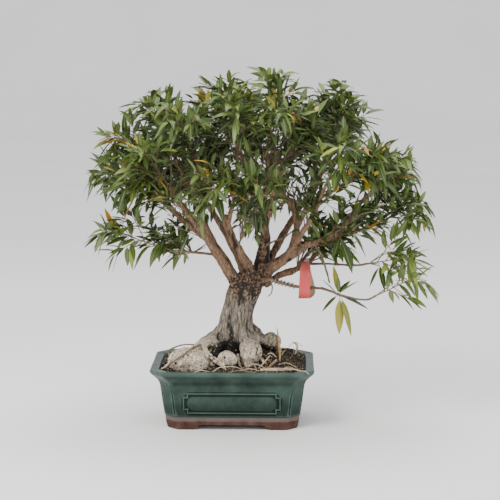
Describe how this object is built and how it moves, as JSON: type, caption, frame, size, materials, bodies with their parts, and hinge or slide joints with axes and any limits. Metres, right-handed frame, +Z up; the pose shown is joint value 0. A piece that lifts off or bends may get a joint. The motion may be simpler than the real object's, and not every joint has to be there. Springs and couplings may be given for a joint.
{
  "type": "bonsai tree in a pot",
  "caption": "Willow leaf ficus bonsai with swollen surface roots and a broad crown, in a rectangular glazed pot with cut corners",
  "frame": {"origin": "on the supporting surface, under the middle of the whole object's box", "axes": "+X to the right of the pot seen from its front, +Y to the back, +Z up; the long side of the pot faces -Y"},
  "size_m": [0.5449, 0.3715, 0.552],
  "materials": {
    "glaze": "gloss",
    "screen": "matte",
    "soil": "matte",
    "bark": "matte",
    "wire": "satin",
    "label": "satin",
    "dry_wood": "matte",
    "dry_leaf": "matte",
    "leaf": "satin"
  },
  "bodies": {
    "root": {"pot": "glaze", "drain_screen_left": "screen", "drain_screen_right": "screen", "soil": "soil", "tree": "bark", "wrap_wire": "wire", "label_loop": "label", "pale_stick": "dry_wood", "bark_chip": "dry_wood", "dry_leaf": "dry_leaf", "spray_01": "leaf", "spray_02": "leaf", "spray_03": "leaf", "spray_04": "leaf", "spray_05": "leaf", "spray_06": "leaf", "spray_07": "leaf", "spray_08": "leaf", "spray_09": "leaf", "spray_10": "leaf", "spray_11": "leaf", "spray_12": "leaf", "spray_13": "leaf", "spray_14": "leaf", "spray_15": "leaf", "spray_16": "leaf", "spray_17": "leaf", "spray_18": "leaf", "spray_19": "leaf", "spray_20": "leaf", "spray_21": "leaf", "spray_22": "leaf", "spray_23": "leaf", "spray_24": "leaf", "spray_25": "leaf", "spray_26": "leaf", "spray_27": "leaf", "spray_28": "leaf", "spray_29": "leaf", "spray_30": "leaf", "spray_31": "leaf", "spray_32": "leaf", "spray_33": "leaf", "spray_34": "leaf", "spray_35": "leaf", "spray_36": "leaf", "spray_37": "leaf", "spray_38": "leaf", "spray_39": "leaf", "spray_40": "leaf"}
  },
  "joints": []
}
